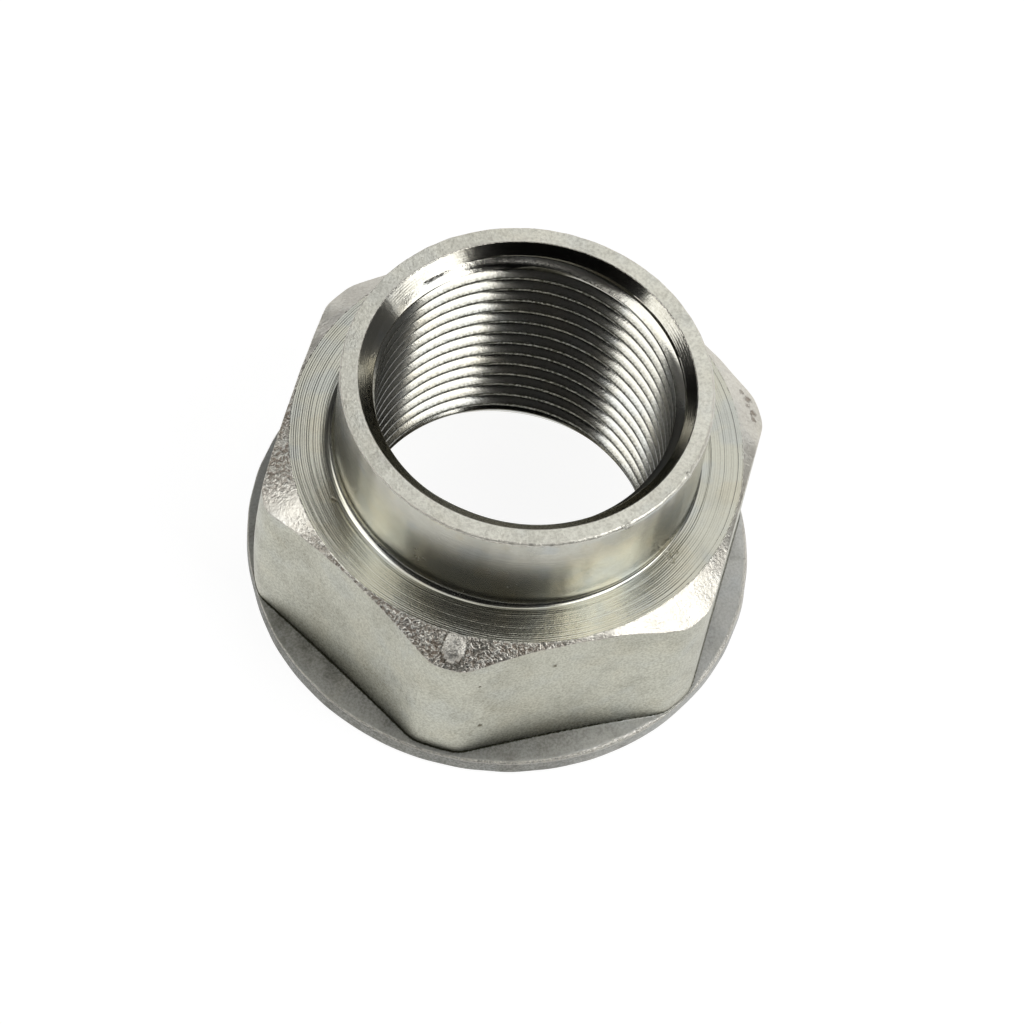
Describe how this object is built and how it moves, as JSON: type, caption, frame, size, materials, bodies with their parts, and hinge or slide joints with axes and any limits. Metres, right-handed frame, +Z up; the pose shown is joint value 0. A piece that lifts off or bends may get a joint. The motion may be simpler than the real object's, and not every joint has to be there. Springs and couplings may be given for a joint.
{
  "type": "flanged axle nut",
  "caption": "Hexagon nut with a round flange at its foot, a fine thread through it and a thin round collar that is struck into a slot in the axle to lock it.",
  "frame": {"origin": "centre of the flange's bearing face, on the thread's axis", "axes": "+Z up the thread's axis from the bearing face to the collar, with two corners of the hexagon on the X axis"},
  "size_m": [0.0404, 0.0404, 0.0249],
  "materials": {
    "zinc_plated_steel": "bright zinc plating, matt on the forged faces and glossy on the turned ones"
  },
  "bodies": {
    "root": {"axle_nut": "zinc_plated_steel"}
  },
  "joints": []
}
